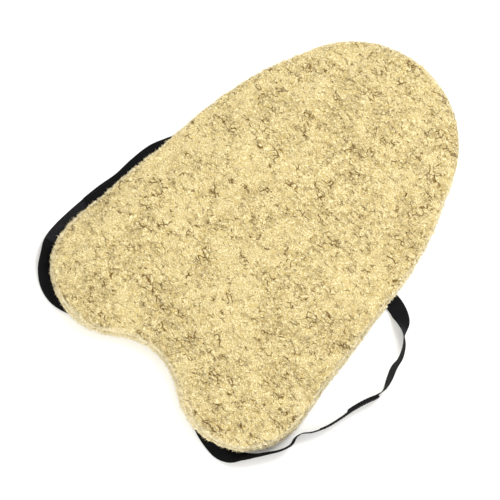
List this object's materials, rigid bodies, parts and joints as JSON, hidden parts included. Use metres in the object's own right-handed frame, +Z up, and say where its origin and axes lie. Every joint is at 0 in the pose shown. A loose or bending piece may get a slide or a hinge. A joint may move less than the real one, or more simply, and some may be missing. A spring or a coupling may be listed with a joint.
{
  "type": "saddle seat cushion",
  "caption": "Fleece-covered foam seat cushion with a rounded rear, two front lobes and a notch, zipped cover, and hook-and-loop webbing strap loops that tie it to a saddle.",
  "frame": {"origin": "on the resting face, under the middle of the cushion's outline", "axes": "+Z up out of the fleece top, +Y towards the rounded rear, +X to the rider's right; the straps lie free beside the cushion"},
  "size_m": [0.3958, 0.4771, 0.032],
  "materials": {
    "fleece": "synthetic sherpa fleece, curled cream pile",
    "foam": "open-cell upholstery foam",
    "nonslip_fabric": "black polyester with non-slip dots",
    "webbing": "black woven polypropylene webbing",
    "hook_tape": "black nylon hook tape",
    "loop_tape": "dark grey napped nylon loop tape",
    "zip_tape": "cream woven polyester zip tape",
    "zip_coil": "cream nylon coil",
    "zip_metal": "nickel-plated die-cast zip hardware"
  },
  "bodies": {
    "cushion": {"base_panel": "nonslip_fabric", "foam_core": "foam", "top_fleece": "fleece", "side_band": "fleece", "rear_band_lower": "fleece", "rear_band_upper": "fleece", "zip_tape_lower": "zip_tape", "zip_tape_upper": "zip_tape", "zip_coil_lower": "zip_coil", "zip_coil_upper": "zip_coil", "zip_stop_closed": "zip_metal", "zip_stop_open": "zip_metal", "right_strap_rear_tab": "webbing", "right_strap_front_tab": "webbing", "left_strap_rear_tab": "webbing", "left_strap_front_tab": "webbing"},
    "right_strap": {"right_strap_rear_webbing": "webbing", "right_strap_front_webbing": "webbing", "right_strap_hook_tape": "hook_tape", "right_strap_loop_tape": "loop_tape"},
    "left_strap": {"left_strap_rear_webbing": "webbing", "left_strap_front_webbing": "webbing", "left_strap_hook_tape": "hook_tape", "left_strap_loop_tape": "loop_tape"},
    "zip_slider": {"zip_slider": "zip_metal"},
    "zip_pull": {"zip_pull": "zip_metal"}
  },
  "joints": [
    {"name": "right_strap_swing", "type": "hinge", "parent": "cushion", "child": "right_strap", "pos_m": [0.124, -0.233, 0.0024], "axis": [0.078, 0.997, 0], "range_deg": [0, 90]},
    {"name": "left_strap_swing", "type": "hinge", "parent": "cushion", "child": "left_strap", "pos_m": [-0.137, -0.226, 0.0024], "axis": [0.0558, -0.9984, 0], "range_deg": [0, 90]},
    {"name": "zip_slide", "type": "hinge", "parent": "cushion", "child": "zip_slider", "pos_m": [0, 0.1175, 0.01055], "axis": [0, 0, 1], "range_deg": [0, 103]},
    {"name": "zip_pull_swing", "type": "hinge", "parent": "zip_slider", "child": "zip_pull", "pos_m": [0.09173, 0.18054, 0.01055], "axis": [0, 0, -1], "range_deg": [0, 150]}
  ]
}
